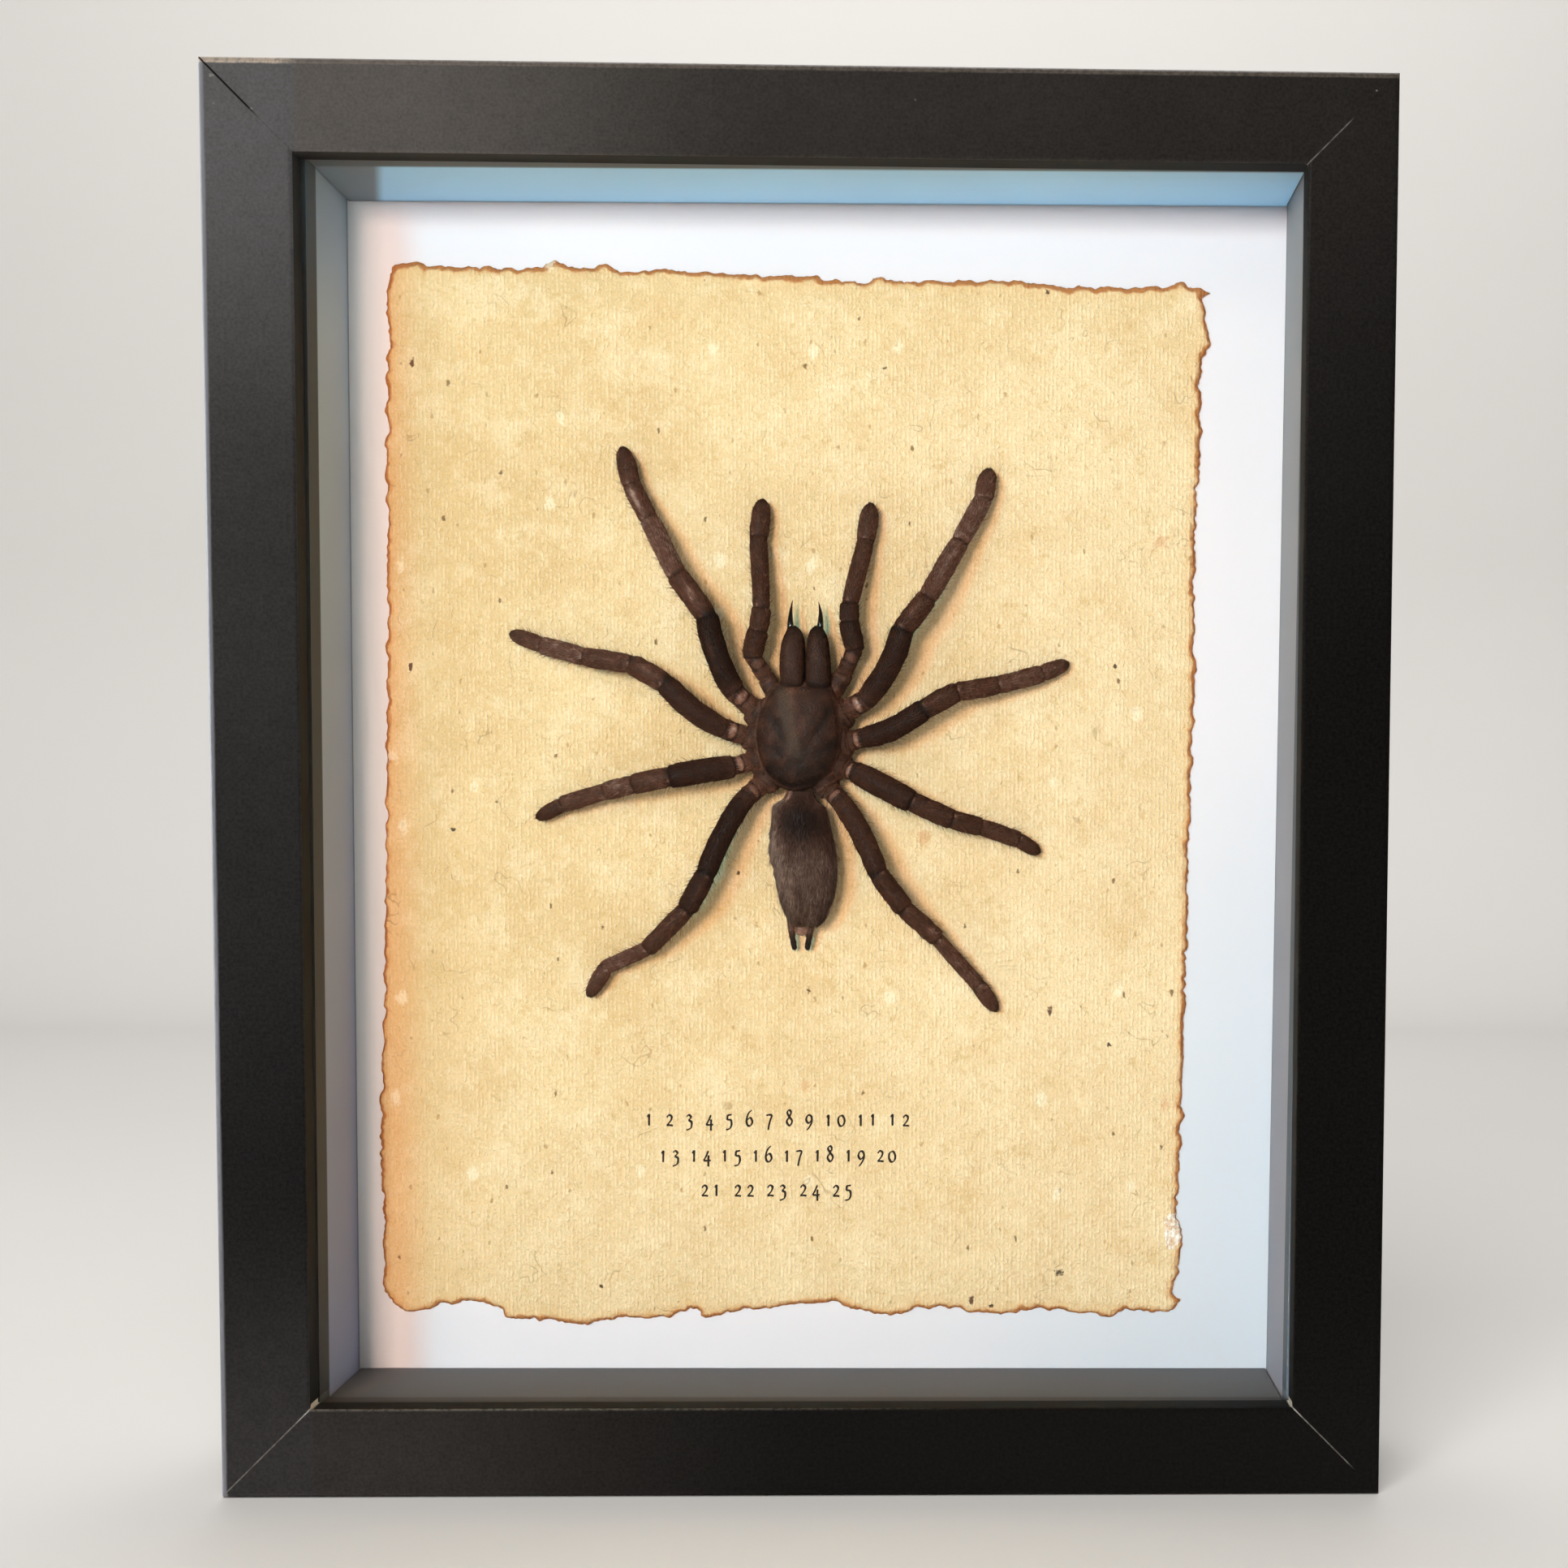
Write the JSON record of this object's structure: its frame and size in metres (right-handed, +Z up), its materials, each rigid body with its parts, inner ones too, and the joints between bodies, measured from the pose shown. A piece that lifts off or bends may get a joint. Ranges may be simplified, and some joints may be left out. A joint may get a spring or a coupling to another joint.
{
  "type": "framed tarantula specimen",
  "caption": "Dried tarantula laid flat on a deckle-edged handmade paper sheet, in a deep black box frame with a clear glass front and a pale backing.",
  "frame": {"origin": "middle of the frame's underside, halfway between its front and its back", "axes": "+Z up along the frame's height, +X to the right as seen from the front, +Y from the glass towards the back board"},
  "size_m": [0.23, 0.04, 0.279],
  "materials": {
    "frame_paint": "satin black paint on a wooden moulding",
    "clear_glass": "clear float glass",
    "lining_card": "matt grey card",
    "white_card": "matt white card",
    "fibreboard": "bare brown fibreboard",
    "zinc_steel": "zinc-plated sheet steel",
    "handmade_paper": "rough handmade laid paper",
    "brown_hair": "short velvety dark brown hair on dry skin",
    "black_horn": "glossy black horn"
  },
  "bodies": {
    "root": {"rail_bottom": "frame_paint", "rail_top": "frame_paint", "rail_left": "frame_paint", "rail_right": "frame_paint", "glass_pane": "clear_glass", "lining_bottom": "lining_card", "lining_top": "lining_card", "lining_left": "lining_card", "lining_right": "lining_card", "backing_card": "white_card", "back_board": "fibreboard", "tab_bottom_1": "zinc_steel", "tab_bottom_2": "zinc_steel", "tab_top_1": "zinc_steel", "tab_top_2": "zinc_steel", "tab_left_1": "zinc_steel", "tab_left_2": "zinc_steel", "tab_right_1": "zinc_steel", "tab_right_2": "zinc_steel", "hanger_plate": "zinc_steel", "paper_sheet": "handmade_paper", "cephalothorax": "brown_hair", "abdomen": "brown_hair", "chelicera_left": "brown_hair", "chelicera_right": "brown_hair", "fang_left": "black_horn", "fang_right": "black_horn", "palp_left": "brown_hair", "palp_right": "brown_hair", "leg_1_left": "brown_hair", "leg_1_right": "brown_hair", "leg_2_left": "brown_hair", "leg_2_right": "brown_hair", "leg_3_left": "brown_hair", "leg_3_right": "brown_hair", "leg_4_left": "brown_hair", "leg_4_right": "brown_hair"}
  },
  "joints": []
}
